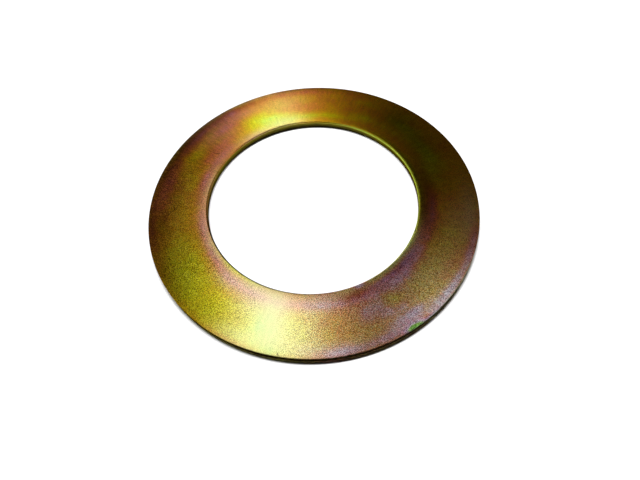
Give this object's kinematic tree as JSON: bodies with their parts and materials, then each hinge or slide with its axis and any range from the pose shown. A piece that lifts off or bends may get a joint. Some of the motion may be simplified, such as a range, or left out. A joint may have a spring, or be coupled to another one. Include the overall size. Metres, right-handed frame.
{
  "type": "shim ring",
  "caption": "Flat, thin steel ring with a wide central bore, threaded on a pin to take up end play. Yellow passivated zinc finish.",
  "frame": {"origin": "centre of the ring's flat underside, on the axis of the bore", "axes": "+Z along the bore's axis, from the underside to the upper face; the ring is round, so X and Y are any two square directions in its plane"},
  "size_m": [0.07, 0.07, 0.0015],
  "materials": {
    "yellow_zinc": "satin, steel plated with zinc and passivated yellow"
  },
  "bodies": {
    "root": {"shim_ring": "yellow_zinc"}
  },
  "joints": []
}
